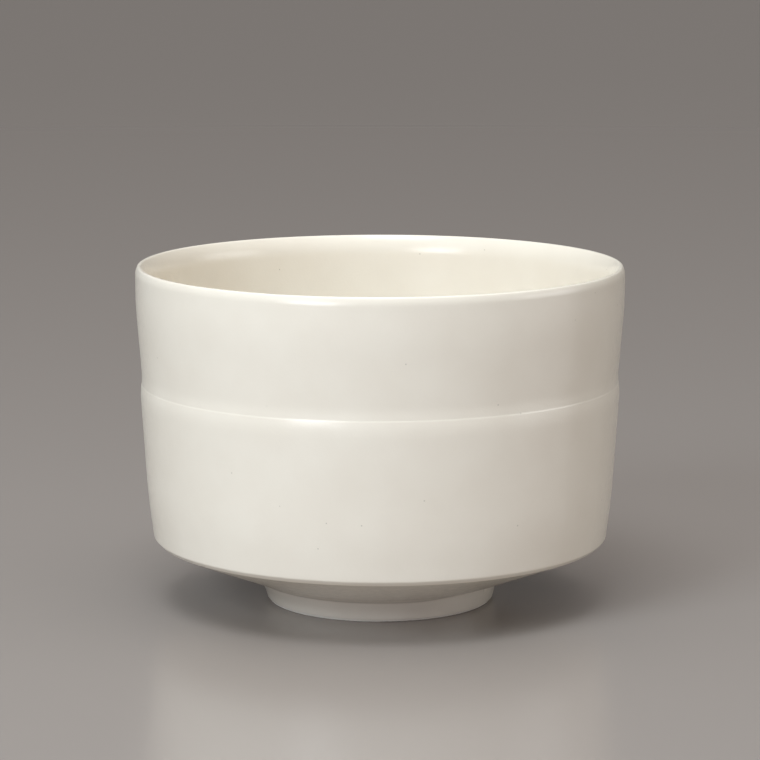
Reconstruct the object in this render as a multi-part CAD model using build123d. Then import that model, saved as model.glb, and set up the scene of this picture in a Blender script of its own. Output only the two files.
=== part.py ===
from build123d import *
import os

# Half-cylinder matcha bowl: a thrown and turned white clay body with a fine ledge round
# its wall, a ring foot luted under it, and three coats of satin glaze that leave only the
# foot's lower rim bare. Everything is a surface of revolution about Z.
# Frame: +Z up, origin at the centre of the foot's resting face. Millimetres.
#
# The section is drawn once, as the glazed outline, with radius along X and height along Y.
# Stepping that outline inwards by the glaze's thickness gives the bare clay, and the skin
# between the two is the glaze.

# Driving dimensions of the glazed bowl.
MOUTH_RADIUS = 60.0
HEIGHT = 83.6
GLAZE = 0.35

# Lip: a three-centred arch, taller on its inner side.
LIP_RADIUS = 59.05  # the circle along the lip's top
LIP_ROUND = 0.6
LIP_OUTER_DROP = 2.2
LIP_INNER_DROP = 5.0
MOUTH_INNER_RADIUS = 57.2

# Outer wall, from the mouth down: (radius, height) where two straight runs meet, and the
# round between them. The ledge is a low step under a shallow waist. The wall ends in a small
# bevel over the underside.
MOUTH_TURN = (MOUTH_RADIUS, 74.0)
WAIST = (58.65, 57.0)
STEP = (58.72, 54.9)
LEDGE = (58.81, 54.6)
BARREL = (58.95, 53.3)
LEDGE_LAND = (59.0, 51.5)
LOWER_TAPER = (57.42, 26.5)
HIP = (56.15, 16.45)
BEVEL = (55.05, 15.4)
FLARE = (33.5, 6.8)
CREASE = (29.25, 5.5)
MOUTH_TURN_ROUND = 100.0
WAIST_ROUND = 17.0
STEP_ROUND = 1.0
LEDGE_ROUND = 0.8
BARREL_ROUND = 15.0
LEDGE_LAND_ROUND = 22.0
LOWER_TAPER_ROUND = 150.0
HIP_ROUND = 0.8
BEVEL_ROUND = 1.2
FLARE_ROUND = 14.0
CREASE_ROUND = 0.8

# Foot ring: its tapered outer side, its flat rim and the well inside it.
FOOT_RADIUS = 27.95
FOOT_JOINT_HEIGHT = 5.7  # clay to clay, where the ring is luted to the flat base
WELL_MOUTH_RADIUS = 24.3
WELL_TOP_RADIUS = 23.6
WELL_TOP_ROUND = 1.2
RIM_EDGE_ROUND = 0.3
RIM_MIDDLE_RADIUS = (WELL_MOUTH_RADIUS + FOOT_RADIUS) / 2
GLAZE_END_HEIGHT = 0.6  # the rim is wiped clean up to here
GLAZE_END_ROUND = 0.2

# Inside: a shallow pool in the middle, a sloping floor and a wide round up to the wall.
POOL_HEIGHT = 8.9
POOL_EDGE = (12.0, POOL_HEIGHT)
FLOOR_EDGE = (30.0, 10.3)
INNER_HIP = (52.6, 19.5)
INNER_WALL_TURN = (MOUTH_INNER_RADIUS, 73.0)
POOL_EDGE_ROUND = 70.0
FLOOR_EDGE_ROUND = 65.0
INNER_HIP_ROUND = 16.0
INNER_WALL_TURN_ROUND = 110.0

PAST_AXIS = 5.0  # the outline runs this far over the axis, and the half section trims it
REACH = 200.0  # longer than anything in the section


def side_arc_radius(width, drop):
    """Radius of the arch's side arc, upright where it springs and tangent to the lip's round."""
    return (width**2 + (drop - LIP_ROUND) ** 2 - LIP_ROUND**2) / (2 * (width - LIP_ROUND))


def lip_side(spring, radius, direction):
    """Where one side of the lip arch meets the top round, and a point midway along that side."""
    top_centre = Vector(LIP_RADIUS, HEIGHT - LIP_ROUND)
    centre = spring + Vector(direction * radius, 0)
    meet = top_centre + (top_centre - centre).normalized() * LIP_ROUND
    midway = centre + ((spring + meet) / 2 - centre).normalized() * radius
    return meet, midway


def lip_arcs(inner_spring, outer_spring):
    """The lip's inner side, its rounded top and its outer side."""
    inner_radius = side_arc_radius(LIP_RADIUS - inner_spring.X, LIP_INNER_DROP)
    outer_radius = side_arc_radius(outer_spring.X - LIP_RADIUS, LIP_OUTER_DROP)
    inner_meet, inner_midway = lip_side(inner_spring, inner_radius, 1)
    outer_meet, outer_midway = lip_side(outer_spring, outer_radius, -1)
    return [
        ThreePointArc(inner_spring, inner_midway, inner_meet),
        ThreePointArc(inner_meet, (LIP_RADIUS, HEIGHT), outer_meet),
        ThreePointArc(outer_meet, outer_midway, outer_spring),
    ]


def inside_line(spring):
    """The inner surface, from past the axis up to the lip."""
    return FilletPolyline(
        (-PAST_AXIS, POOL_HEIGHT),
        POOL_EDGE,
        FLOOR_EDGE,
        INNER_HIP,
        INNER_WALL_TURN,
        spring,
        radius=[POOL_EDGE_ROUND, FLOOR_EDGE_ROUND, INNER_HIP_ROUND, INNER_WALL_TURN_ROUND],
    )


def outside_line(spring, well_height):
    """The outer surface, from the lip down, round the foot's rim and across the well.

    The rim and the well lie a glaze coat too low, so that the stepped-in clay stands at zero.
    """
    foot_taper = (CREASE[0] - FOOT_RADIUS) / CREASE[1]
    corners = {
        MOUTH_TURN: MOUTH_TURN_ROUND,
        WAIST: WAIST_ROUND,
        STEP: STEP_ROUND,
        LEDGE: LEDGE_ROUND,
        BARREL: BARREL_ROUND,
        LEDGE_LAND: LEDGE_LAND_ROUND,
        LOWER_TAPER: LOWER_TAPER_ROUND,
        HIP: HIP_ROUND,
        BEVEL: BEVEL_ROUND,
        FLARE: FLARE_ROUND,
        CREASE: CREASE_ROUND,
        (FOOT_RADIUS - foot_taper * GLAZE, -GLAZE): RIM_EDGE_ROUND + GLAZE,
        (WELL_MOUTH_RADIUS, -GLAZE): RIM_EDGE_ROUND + GLAZE,
        (WELL_TOP_RADIUS, well_height): WELL_TOP_ROUND,
    }
    return FilletPolyline(spring, *corners, (-PAST_AXIS, well_height), radius=list(corners.values()))


def glazed_outline():
    """The whole glazed section as a closed face."""
    inner_spring = Vector(MOUTH_INNER_RADIUS, HEIGHT - LIP_INNER_DROP)
    outer_spring = Vector(MOUTH_RADIUS, HEIGHT - LIP_OUTER_DROP)
    well_height = FOOT_JOINT_HEIGHT - GLAZE
    lines = [
        *inside_line(inner_spring).edges(),
        *lip_arcs(inner_spring, outer_spring),
        *outside_line(outer_spring, well_height).edges(),
        Line((-PAST_AXIS, well_height), (-PAST_AXIS, POOL_HEIGHT)),
    ]
    return make_face(lines)


def zone(low_radius, high_radius, low_height, high_height):
    """A rectangle of the section, for keeping or cutting what lies in it."""
    centre = ((low_radius + high_radius) / 2, (low_height + high_height) / 2)
    return Pos(*centre) * Rectangle(high_radius - low_radius, high_height - low_height)


def cavity_side():
    """Everything on the tea's side of a line that runs up inside the wall to the lip's top."""
    floor_middle = (FOOT_JOINT_HEIGHT + POOL_HEIGHT) / 2
    wall_middle = (INNER_HIP[0] + HIP[0]) / 2
    points = [
        (0, floor_middle),
        (FLOOR_EDGE[0], floor_middle),
        (wall_middle, INNER_HIP[1]),
        (LIP_RADIUS, HEIGHT - LIP_OUTER_DROP),
        (LIP_RADIUS, REACH),
        (0, REACH),
    ]
    return make_face(Polyline(*points, close=True))


def with_rounded_end(coat):
    """Rounds a glaze coat's free edge by the foot's rim, on the side that faces the air."""
    lowest = coat.vertices().group_by(Axis.Y)[0]
    airside = lowest.sort_by(lambda corner: abs(corner.X - RIM_MIDDLE_RADIUS))[-1]
    return fillet(airside, GLAZE_END_ROUND)


def half_sections():
    """The half section of every piece, by node name."""
    glazed = glazed_outline()
    stepped_in = offset(glazed, amount=-GLAZE)
    clay = stepped_in & zone(0, REACH, -REACH, REACH)
    coats = (glazed - stepped_in) & zone(0, REACH, GLAZE_END_HEIGHT, REACH)
    below_joint = zone(0, REACH, -REACH, FOOT_JOINT_HEIGHT)
    inside_foot = zone(0, RIM_MIDDLE_RADIUS, -REACH, FOOT_JOINT_HEIGHT)
    return {
        "clay_body": clay - below_joint,
        "foot_ring": clay & below_joint,
        "outer_glaze": with_rounded_end(coats - cavity_side() - inside_foot),
        "inner_glaze": coats & cavity_side(),
        "foot_well_glaze": with_rounded_end(coats & inside_foot),
    }


def turned(section):
    """The solid that a half section sweeps about the Z axis."""
    return revolve(Plane.XZ * section, axis=Axis.Z, revolution_arc=360)


os.makedirs("parts", exist_ok=True)
for node, section in half_sections().items():
    piece = turned(section)
    piece.label = node
    export_step(piece, f"parts/{node}.step")
    print(node, "solids", len(piece.solids()), "volume", round(piece.volume), "valid", piece.is_valid)
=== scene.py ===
import math

import bpy
from mathutils import Euler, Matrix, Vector, noise


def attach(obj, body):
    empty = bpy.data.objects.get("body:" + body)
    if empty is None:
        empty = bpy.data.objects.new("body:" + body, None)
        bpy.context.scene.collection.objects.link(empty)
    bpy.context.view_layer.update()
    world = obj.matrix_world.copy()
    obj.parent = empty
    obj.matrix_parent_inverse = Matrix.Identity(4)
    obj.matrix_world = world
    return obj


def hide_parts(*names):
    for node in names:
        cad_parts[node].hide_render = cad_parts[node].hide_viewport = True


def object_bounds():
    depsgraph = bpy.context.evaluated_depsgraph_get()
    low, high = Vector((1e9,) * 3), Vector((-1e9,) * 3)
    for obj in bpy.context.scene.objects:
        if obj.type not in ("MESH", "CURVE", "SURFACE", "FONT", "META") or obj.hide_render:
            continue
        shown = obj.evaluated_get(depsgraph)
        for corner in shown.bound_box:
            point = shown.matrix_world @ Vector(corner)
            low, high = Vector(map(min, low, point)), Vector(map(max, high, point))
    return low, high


# A matcha bowl in satin ivory glaze, on a plain pale floor in soft studio light.
# The three glaze coats are turned here again at full smoothness, with the small
# irregularities of handwork. The clay under them is the CAD model's own.
# The frame is the CAD model's: metres, +Z up, origin under the middle of the foot,
# and the front of the bowl faces -Y. Profiles are in millimetres.

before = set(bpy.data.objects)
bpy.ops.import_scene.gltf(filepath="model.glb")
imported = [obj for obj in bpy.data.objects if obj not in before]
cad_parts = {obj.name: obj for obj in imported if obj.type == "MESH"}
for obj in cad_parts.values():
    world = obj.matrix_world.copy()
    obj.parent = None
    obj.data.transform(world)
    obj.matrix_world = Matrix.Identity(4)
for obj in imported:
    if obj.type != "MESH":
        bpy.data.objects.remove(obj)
cad_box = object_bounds()

MM = 0.001
HEIGHT = cad_box[1].z / MM
MOUTH_RADIUS = cad_box[1].x / MM
GLAZE = 0.35
TURN_STEPS = 480  # facets round the bowl
ARC_STEP = math.radians(5)  # the longest step round a small arc
LONGEST_STEP = 0.9  # the longest step along the profile
SAME_POINT = 1e-4  # points nearer than this are one point
ON_AXIS = 1e-6  # a point nearer the axis than this is on it
SHARP_ANGLE = math.radians(40)  # edges sharper than this are shaded as edges

# Lip: a three-centred arch, as in the CAD model.
LIP_RADIUS = 59.05
LIP_ROUND = 0.6
LIP_OUTER_DROP = 2.2
LIP_INNER_DROP = 5.0
MOUTH_INNER_RADIUS = 57.2

# Corners of the glaze's free surface, as (radius, height, round), the walls from the lip down.
LEDGE_HEIGHT = 54.6
CREASE = (29.25, 5.5, 0.8)
GLAZE_END_HEIGHT = 0.6  # the foot's rim is bare below here
GLAZE_END_ROUND = 0.2
POOL_HEIGHT = 8.9
WELL_HEIGHT = 5.35
OUTSIDE = (
    (MOUTH_RADIUS, HEIGHT - LIP_OUTER_DROP, 0),
    (MOUTH_RADIUS, 74.0, 100.0),
    (58.65, 57.0, 17.0),
    (58.72, 54.9, 1.0),
    (58.81, LEDGE_HEIGHT, 0.8),
    (58.95, 53.3, 15.0),
    (59.0, 51.5, 22.0),
    (57.42, 26.5, 150.0),
    (56.15, 16.45, 0.8),
    (55.05, 15.4, 1.2),
    (33.5, 6.8, 14.0),
    CREASE,
    (28.09, GLAZE_END_HEIGHT, GLAZE_END_ROUND),
    (27.75, GLAZE_END_HEIGHT, 0),
)
INSIDE = (
    (MOUTH_INNER_RADIUS, HEIGHT - LIP_INNER_DROP, 0),
    (MOUTH_INNER_RADIUS, 73.0, 110.0),
    (52.6, 19.5, 16.0),
    (30.0, 10.3, 65.0),
    (12.0, POOL_HEIGHT, 70.0),
    (0, POOL_HEIGHT, 0),
)
FOOT_WELL = (
    (24.52, GLAZE_END_HEIGHT, 0),
    (24.24, GLAZE_END_HEIGHT, GLAZE_END_ROUND),
    (23.6, WELL_HEIGHT, 1.2),
    (0, WELL_HEIGHT, 0),
)


# ---------------------------------------------------------------- profiles


def arc(centre, radius, start, end):
    """Points along an arc, in steps short enough to look smooth."""
    turn = abs(end - start)
    steps = max(2, math.ceil(turn / ARC_STEP), math.ceil(turn * radius / LONGEST_STEP))
    points = []
    for i in range(steps + 1):
        angle = start + (end - start) * i / steps
        points.append(Vector((centre[0] + radius * math.cos(angle), centre[1] + radius * math.sin(angle))))
    return points


def rounded_corner(before, corner, after, radius):
    """The arc that rounds a corner between two straight runs."""
    back = (before - corner).normalized()
    on = (after - corner).normalized()
    opening = back.angle(on)
    centre = corner + (back + on).normalized() * radius / math.sin(opening / 2)
    reach = radius / math.tan(opening / 2)
    first = corner + back * reach - centre
    last = corner + on * reach - centre
    start = math.atan2(first.y, first.x)
    turn = (math.atan2(last.y, last.x) - start + math.pi) % math.tau - math.pi
    return arc(centre, radius, start, start + turn)


def rounded_line(corners):
    """Points along straight runs whose corners are rounded."""
    places = [Vector(corner[:2]) for corner in corners]
    line = [places[0]]
    for i in range(1, len(places) - 1):
        line += rounded_corner(places[i - 1], places[i], places[i + 1], corners[i][2])
    line.append(places[-1])
    return line


def lip_side(spring_radius, drop):
    """One side of the lip's arch, from its top down to where it springs from the wall."""
    width = abs(spring_radius - LIP_RADIUS)
    side = math.copysign(1, spring_radius - LIP_RADIUS)
    rise = drop - LIP_ROUND
    swing = (width**2 + rise**2 - LIP_ROUND**2) / (2 * (width - LIP_ROUND))
    meet = math.atan2(rise, swing - width)
    arch = arc((0, -LIP_ROUND), LIP_ROUND, math.pi / 2, meet)
    arch += arc((width - swing, -drop), swing, meet, 0)
    return [Vector((LIP_RADIUS + side * point.x, HEIGHT + point.y)) for point in arch]


def evened(line):
    """The same line with doubled points dropped and long runs divided."""
    even = [line[0]]
    for point in line[1:]:
        gap = (point - even[-1]).length
        if gap < SAME_POINT:
            continue
        steps = math.ceil(gap / LONGEST_STEP)
        start = even[-1]
        even += [start.lerp(point, i / steps) for i in range(1, steps + 1)]
    return even


def stepped_back(line, air_side):
    """The line moved by the glaze's thickness, away from the air."""
    moved = []
    for i, point in enumerate(line):
        along = (line[min(i + 1, len(line) - 1)] - line[max(i - 1, 0)]).normalized()
        moved.append(point + Vector((along.y, -along.x)) * air_side * GLAZE)
    return moved


# ---------------------------------------------------------------- handwork

FRONT = -math.pi / 2  # the bearing of -Y, and 0 is +X

# The slow drifts of the radius, and of the lip's height, as (size, scale, seed).
WALL_DRIFTS = ((0.06, 0.9, 3.1), (0.02, 2.6, 7.7))
LIP_DRIFT = (0.05, 1.1, 11.3)
WALL_DRIFT_RADII = (0, 20)  # it grows from nothing to full between these
LIP_DRIFT_HEIGHTS = (40, 80)
DRIFT_RISE = 0.02  # how fast a drift changes up the wall, against its scale

LEDGE_TILT = 0.22  # the ledge stands this much higher at +X and lower at -X
LEDGE_SPREAD = 4.5  # how far above and below the ledge the tilt is felt
LEDGE_SIDE_RADII = (57.9, 58.3)  # the tilt is the outer side's only: nothing to full
LEDGE_SIDE_FLOOR = 30  # and only above here

HIP_HEIGHT = 16.4
HIP_TILT = 0.12  # the hip's edge stands this much lower at +X and higher at -X
HIP_SPREAD = 5.0
OVER_HIP_RADII = (55.0, 55.8)  # the tilt is the outer side's only: nothing to full
UNDER_HIP_RADII = (44, 55)

# Glaze pooled in the crease over the foot. Near the nick there is none.
POOLING = 0.8
POOLING_REACH = 2.2
POOLING_OUT = 0.75  # how much of it goes outwards
POOLING_DOWN = 0.45  # and how much goes down
POOLING_END = (0.7, 0.95)  # cosines of the turn from the nick: full pooling to none

NICK_BEARING = FRONT + math.radians(62.5)
NICK_HEIGHT = 5.0
NICK_RADIUS = 0.55
NICK_DEPTH = 0.28
NICK_REACH = 3 * NICK_RADIUS
FOOT_OUTER_SIDE = 27  # the nick is only outside this radius


def smooth(low, high, value):
    """0 below low, 1 above high, and a smooth step between them."""
    t = min(1, max(0, (value - low) / (high - low)))
    return t * t * (3 - 2 * t)


def wander(bearing, height, scale, seed):
    """A slow, even drift between about -1 and 1 over the bowl's wall."""
    rise = height * DRIFT_RISE * scale + seed
    return noise.noise((math.cos(bearing) * scale, math.sin(bearing) * scale, rise))


def ledge_lift(radius, height, bearing):
    """How much higher the ledge's tilt lifts a point."""
    if height <= LEDGE_SIDE_FLOOR:
        return 0
    near = math.exp(-(((height - LEDGE_HEIGHT) / LEDGE_SPREAD) ** 2))
    return LEDGE_TILT * math.cos(bearing) * near * smooth(*LEDGE_SIDE_RADII, radius)


def hip_drop(radius, height, bearing):
    """How much lower the hip's tilt sets a point."""
    near = math.exp(-(((height - HIP_HEIGHT) / HIP_SPREAD) ** 2))
    side = OVER_HIP_RADII if height > HIP_HEIGHT else UNDER_HIP_RADII
    near *= smooth(*side, radius)
    return HIP_TILT * math.cos(bearing) * near


def crease_fill(radius, height, bearing):
    """How far pooled glaze moves a point at the crease over the foot."""
    from_crease = math.hypot(radius - CREASE[0], height - CREASE[1])
    pooled = POOLING * (1 - smooth(*POOLING_END, math.cos(bearing - NICK_BEARING)))
    return pooled * math.exp(-((from_crease / POOLING_REACH) ** 2))


def nick_depth(radius, height, bearing):
    """How deep the nick is at a point."""
    across = (bearing - NICK_BEARING) * radius
    from_nick = math.hypot(across, height - NICK_HEIGHT)
    if from_nick >= NICK_REACH or radius <= FOOT_OUTER_SIDE:
        return 0
    return NICK_DEPTH * math.exp(-((from_nick / NICK_RADIUS) ** 2))


def by_hand(point, bearing):
    """Where a point of the true profile really lies, as (radius, height), with handwork's errors."""
    radius, height = point
    new_radius = radius
    for size, scale, seed in WALL_DRIFTS:
        new_radius += size * smooth(*WALL_DRIFT_RADII, radius) * wander(bearing, height, scale, seed)
    new_height = height + ledge_lift(radius, height, bearing)
    new_height -= hip_drop(radius, height, bearing)
    size, scale, seed = LIP_DRIFT
    new_height += size * wander(bearing, 0, scale, seed) * smooth(*LIP_DRIFT_HEIGHTS, height)
    fill = crease_fill(radius, height, bearing)
    new_radius += POOLING_OUT * fill
    new_height -= POOLING_DOWN * fill
    new_radius -= nick_depth(radius, height, bearing)
    return new_radius, new_height


def turned_coat(name, line, air_side):
    """A closed coat of glaze, turned about Z from its free surface. air_side is 1 or -1."""
    line = evened(line)
    loop = line + stepped_back(line, air_side)[::-1]
    verts = []
    rings = []
    for point in loop:
        if point.x < ON_AXIS:
            rings.append([len(verts)])
            verts.append(Vector((0, 0, point.y)) * MM)
            continue
        rings.append(list(range(len(verts), len(verts) + TURN_STEPS)))
        for i in range(TURN_STEPS):
            bearing = math.tau * i / TURN_STEPS + FRONT - math.pi
            radius, height = by_hand(point, bearing)
            place = Vector((radius * math.cos(bearing), radius * math.sin(bearing), height))
            verts.append(place * MM)
    faces = []
    for here, there in zip(rings, rings[1:] + rings[:1]):
        for i in range(TURN_STEPS):
            j = (i + 1) % TURN_STEPS
            corners = [here[i % len(here)], here[j % len(here)]]
            corners += [there[j % len(there)], there[i % len(there)]]
            face = list(dict.fromkeys(corners))
            if len(face) > 2:
                faces.append(face if air_side > 0 else face[::-1])
    mesh = bpy.data.meshes.new(name)
    mesh.from_pydata(verts, [], faces)
    mesh.validate()
    mesh.shade_smooth()
    mesh.set_sharp_from_angle(angle=SHARP_ANGLE)
    piece = bpy.data.objects.new(name, mesh)
    bpy.context.scene.collection.objects.link(piece)
    return piece


# ---------------------------------------------------------------- materials

# Colours are linear. A pair is a tone's darker and paler end.
GLAZE_TONES = ((0.795, 0.730, 0.624), (0.825, 0.764, 0.658))
GLAZE_SPECK = (0.30, 0.27, 0.22)
GLAZE_ROUGHNESS = (0.18, 0.25)
GLAZE_IOR = 1.6
CLAY_TONES = ((0.78, 0.73, 0.64), (0.84, 0.80, 0.72))
CLAY_GRIT = (0.35, 0.30, 0.24)
CLAY_ROUGHNESS = (0.78, 0.92)
FLOOR_COLOUR = (0.308, 0.275, 0.25, 1)
FLOOR_ROUGHNESS = 0.23
FLOOR_IOR = 1.7
SPECK_STRENGTH = 0.4  # how strongly specks and grit tint the surface
NOISE_SPAN = (0.3, 0.7)  # the range in which nearly all of a noise lies


class Nodes:
    """A small helper that builds one material's node tree."""

    def __init__(self, name):
        self.material = bpy.data.materials.new(name)
        self.material.use_nodes = True
        self.tree = self.material.node_tree
        self.shader = self.tree.nodes["Principled BSDF"]
        self.place = self.tree.nodes.new("ShaderNodeTexCoord").outputs["Object"]

    def add(self, kind, settings=None, **inputs):
        """A new node. settings are its properties, and inputs are values or sockets by name."""
        node = self.tree.nodes.new(kind)
        for key, value in (settings or {}).items():
            setattr(node, key, value)
        for key, value in inputs.items():
            socket = node.inputs[key.replace("_", " ")]
            if isinstance(value, bpy.types.NodeSocket):
                self.tree.links.new(value, socket)
            else:
                socket.default_value = value
        return node

    def noise(self, grain, detail=2.0, roughness=0.5):
        """Noise whose blobs are about grain millimetres across."""
        scale = 1 / (grain * MM)
        made = self.add("ShaderNodeTexNoise", Vector=self.place, Scale=scale)
        made.inputs["Detail"].default_value = detail
        made.inputs["Roughness"].default_value = roughness
        return made.outputs["Fac"]

    def span(self, value, from_low, from_high, to_low, to_high):
        """value moved from one range to another, and held at its ends."""
        made = self.add("ShaderNodeMapRange", Value=value)
        made.inputs["From Min"].default_value = from_low
        made.inputs["From Max"].default_value = from_high
        made.inputs["To Min"].default_value = to_low
        made.inputs["To Max"].default_value = to_high
        return made.outputs["Result"]

    def times(self, a, b):
        """a multiplied by b."""
        made = self.add("ShaderNodeMath", {"operation": "MULTIPLY"})
        for socket, value in zip(made.inputs, (a, b)):
            if isinstance(value, bpy.types.NodeSocket):
                self.tree.links.new(value, socket)
            else:
                socket.default_value = value
        return made.outputs["Value"]

    def below(self, value, limit):
        """1 where value is under limit, and 0 elsewhere."""
        made = self.add("ShaderNodeMath", {"operation": "LESS_THAN"})
        made.inputs[1].default_value = limit
        self.tree.links.new(value, made.inputs[0])
        return made.outputs["Value"]

    def blend(self, amount, low, high):
        """A colour between low and high, by amount."""
        made = self.add("ShaderNodeMix", {"data_type": "RGBA"})
        factor, first, second = made.inputs[0], made.inputs[6], made.inputs[7]
        for socket, value in ((factor, amount), (first, low), (second, high)):
            if isinstance(value, bpy.types.NodeSocket):
                self.tree.links.new(value, socket)
            else:
                socket.default_value = (*value, 1)
        return made.outputs[2]

    def bump(self, height, depth, normal=None):
        """A bump whose full height range is depth millimetres."""
        made = self.add("ShaderNodeBump", Height=height, Distance=depth * MM, Strength=1.0)
        if normal is not None:
            self.tree.links.new(normal, made.inputs["Normal"])
        return made.outputs["Normal"]

    def put(self, **inputs):
        """Sets the shader's own sockets."""
        for key, value in inputs.items():
            socket = self.shader.inputs[key.replace("_", " ")]
            if isinstance(value, bpy.types.NodeSocket):
                self.tree.links.new(value, socket)
            else:
                socket.default_value = value


def specks(nodes, cell, size, share):
    """A mask of round specks up to size mm across, in that share of the cells of cell mm."""
    cells = nodes.add("ShaderNodeTexVoronoi", Vector=nodes.place, Scale=1 / (cell * MM))
    draw = nodes.add("ShaderNodeSeparateColor", Color=cells.outputs["Color"]).outputs["Red"]
    chosen = nodes.below(draw, share)
    inside = nodes.below(cells.outputs["Distance"], size / (2 * cell))
    return nodes.times(chosen, inside)


def glaze_material():
    """Satin ivory glaze: faint clouds, a fine frosted grain, and small specks that are pits too."""
    nodes = Nodes("satin_glaze")
    clouds = nodes.span(nodes.noise(grain=14, detail=3), *NOISE_SPAN, 0, 1)
    tone = nodes.blend(clouds, *GLAZE_TONES)
    dark = specks(nodes, cell=5.0, size=0.36, share=0.8)
    nodes.put(Base_Color=nodes.blend(nodes.times(dark, SPECK_STRENGTH), tone, GLAZE_SPECK))
    nodes.put(Roughness=nodes.span(nodes.noise(grain=1.6, detail=3), *NOISE_SPAN, *GLAZE_ROUGHNESS))
    nodes.put(IOR=GLAZE_IOR)
    swell = nodes.bump(nodes.noise(grain=5.0), depth=0.02)
    frost = nodes.bump(nodes.noise(grain=0.6, detail=3, roughness=0.6), depth=0.018, normal=swell)
    nodes.put(Normal=nodes.bump(dark, depth=-0.03, normal=frost))
    return nodes.material


def clay_material():
    """Bare fired clay on the foot's rim: off-white, dry and finely gritty."""
    nodes = Nodes("bare_clay")
    clouds = nodes.span(nodes.noise(grain=6, detail=4), *NOISE_SPAN, 0, 1)
    tone = nodes.blend(clouds, *CLAY_TONES)
    grit = specks(nodes, cell=2.2, size=0.25, share=0.6)
    nodes.put(Base_Color=nodes.blend(nodes.times(grit, SPECK_STRENGTH), tone, CLAY_GRIT))
    nodes.put(Roughness=nodes.span(nodes.noise(grain=0.8), *NOISE_SPAN, *CLAY_ROUGHNESS))
    nodes.put(Normal=nodes.bump(nodes.noise(grain=0.35, detail=4, roughness=0.7), depth=0.06))
    return nodes.material


def floor_material():
    """A plain pale warm-grey tabletop with a soft, faint gloss."""
    nodes = Nodes("floor")
    nodes.put(Base_Color=FLOOR_COLOUR, Roughness=FLOOR_ROUGHNESS, IOR=FLOOR_IOR)
    return nodes.material


# ---------------------------------------------------------------- the bowl


def make_bowl():
    """The three coats of glaze, and the clay that they lie on."""
    glaze = glaze_material()
    outer_top = lip_side(MOUTH_RADIUS, LIP_OUTER_DROP)
    inner_top = lip_side(MOUTH_INNER_RADIUS, LIP_INNER_DROP)
    coats = (
        ("glaze_outside", outer_top + rounded_line(OUTSIDE), 1, "outer_glaze"),
        ("glaze_inside", inner_top + rounded_line(INSIDE), -1, "inner_glaze"),
        ("glaze_foot_well", rounded_line(FOOT_WELL), -1, "foot_well_glaze"),
    )
    for name, line, air_side, node in coats:
        coat = turned_coat(name, line, air_side)
        coat.data.materials.append(glaze)
        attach(coat, "root")
        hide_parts(node)
    clay = clay_material()
    for node in ("clay_body", "foot_ring"):
        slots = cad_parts[node].data.materials
        slots.clear()
        slots.append(clay)


# ---------------------------------------------------------------- the studio

CAMERA_DISTANCE = 0.752
CAMERA_HEIGHT = 0.18165
CAMERA_PITCH = math.radians(9.591)  # below level
CAMERA_LENS = 146.15
CAMERA_SENSOR_WIDTH = 36
CAMERA_REACH = 50  # metres: nothing farther off is seen
FLOOR_RADIUS = 9.0
FLOOR_FACETS = 96
TARGET = Vector((0, 0, HEIGHT * MM / 2))

# Softboxes: (name, bearing from the camera's side in degrees, elevation, distance, width,
# height, watts, colour). A positive bearing is to the camera's right.
LIGHTS = (
    ("key_low", -41, 27, 1.3, 0.5, 0.45, 8.9, (0.79, 0.91, 1.0)),
    ("key_high", -15, 63, 1.1, 0.45, 0.45, 4.75, (0.86, 0.94, 1.0)),
    ("window", -29, 8, 1.6, 0.78, 0.26, 2.8, (0.92, 0.9, 1.0)),
    ("sheen", -31, 10, 1.3, 0.5, 0.38, 3.2, (0.95, 0.97, 1.0)),
    ("table_glow", 5, 3, 1.5, 1.2, 0.16, 1.6, (0.97, 0.9, 1.0)),
    ("right_fill", 84, 10, 1.5, 0.9, 0.5, 2.9, (1.0, 1.0, 1.0)),
)
MATTE_LIGHTS = ("key_low", "window", "table_glow")  # nothing reflects these
GLOSS_LIGHTS = ("sheen",)  # these only make highlights, and none on the floor
ROOM_COLOUR = (1.0, 0.975, 0.96)
ROOM_AT_HORIZON = 0.14
ROOM_OVERHEAD = 2.0
ROOM_GATHERING = 4.0  # how closely the room's light gathers overhead


def make_camera():
    """The camera at the front, looking a little down."""
    camera = bpy.data.cameras.new("camera")
    camera.lens = CAMERA_LENS
    camera.sensor_width = CAMERA_SENSOR_WIDTH
    camera.clip_end = CAMERA_REACH
    holder = bpy.data.objects.new("camera", camera)
    holder.location = (0, -CAMERA_DISTANCE, CAMERA_HEIGHT)
    holder.rotation_euler = (math.pi / 2 - CAMERA_PITCH, 0, 0)
    bpy.context.scene.collection.objects.link(holder)
    bpy.context.scene.camera = holder


def make_floor():
    """A wide round floor at the foot's resting height."""
    rim = [math.tau * i / FLOOR_FACETS for i in range(FLOOR_FACETS)]
    verts = [(FLOOR_RADIUS * math.cos(a), FLOOR_RADIUS * math.sin(a), 0) for a in rim]
    mesh = bpy.data.meshes.new("floor")
    mesh.from_pydata(verts, [], [list(range(len(verts)))])
    mesh.materials.append(floor_material())
    floor = bpy.data.objects.new("floor", mesh)
    bpy.context.scene.collection.objects.link(floor)
    return floor


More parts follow.
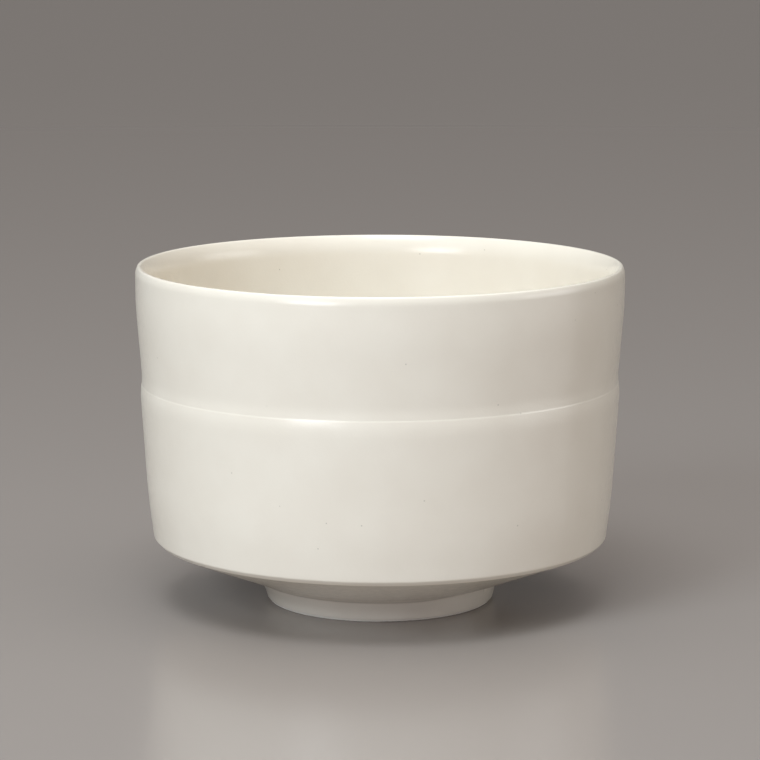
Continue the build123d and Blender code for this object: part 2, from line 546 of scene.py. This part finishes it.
def make_lights(floor):
    """The softboxes, each turned towards the bowl."""
    all_but_floor = bpy.data.collections.new("all_but_floor")
    all_but_floor.objects.link(floor)
    all_but_floor.collection_objects[0].light_linking.link_state = "EXCLUDE"
    for name, bearing, elevation, distance, width, height, watts, colour in LIGHTS:
        lamp = bpy.data.lights.new(name, "AREA")
        lamp.shape = "RECTANGLE"
        lamp.size = width
        lamp.size_y = height
        lamp.energy = watts
        lamp.color = colour
        turn = Euler((0, 0, math.radians(bearing))).to_matrix()
        tilt = math.radians(elevation)
        away = turn @ Vector((0, -math.cos(tilt), math.sin(tilt)))
        holder = bpy.data.objects.new(name, lamp)
        holder.location = TARGET + away * distance
        holder.rotation_euler = away.to_track_quat("Z", "Y").to_euler()
        holder.visible_glossy = name not in MATTE_LIGHTS
        holder.visible_diffuse = name not in GLOSS_LIGHTS
        if name in GLOSS_LIGHTS:
            holder.light_linking.receiver_collection = all_but_floor
        bpy.context.scene.collection.objects.link(holder)


def make_room():
    """The room's own light: dim at the horizon and brighter overhead."""
    world = bpy.data.worlds.new("room")
    world.use_nodes = True
    nodes = world.node_tree.nodes
    links = world.node_tree.links
    backdrop = nodes["Background"]
    backdrop.inputs["Color"].default_value = (*ROOM_COLOUR, 1)
    bearing = nodes.new("ShaderNodeTexCoord")
    split = nodes.new("ShaderNodeSeparateXYZ")
    gathered = nodes.new("ShaderNodeMath")
    gathered.operation = "POWER"
    gathered.inputs[1].default_value = ROOM_GATHERING
    strength = nodes.new("ShaderNodeMapRange")
    strength.inputs["To Min"].default_value = ROOM_AT_HORIZON
    strength.inputs["To Max"].default_value = ROOM_OVERHEAD
    links.new(bearing.outputs["Generated"], split.inputs["Vector"])
    links.new(split.outputs["Z"], gathered.inputs[0])
    links.new(gathered.outputs["Value"], strength.inputs["Value"])
    links.new(strength.outputs["Result"], backdrop.inputs["Strength"])
    bpy.context.scene.world = world


make_camera()
make_bowl()
make_lights(make_floor())
make_room()
bpy.context.scene.view_settings.view_transform = "Standard"
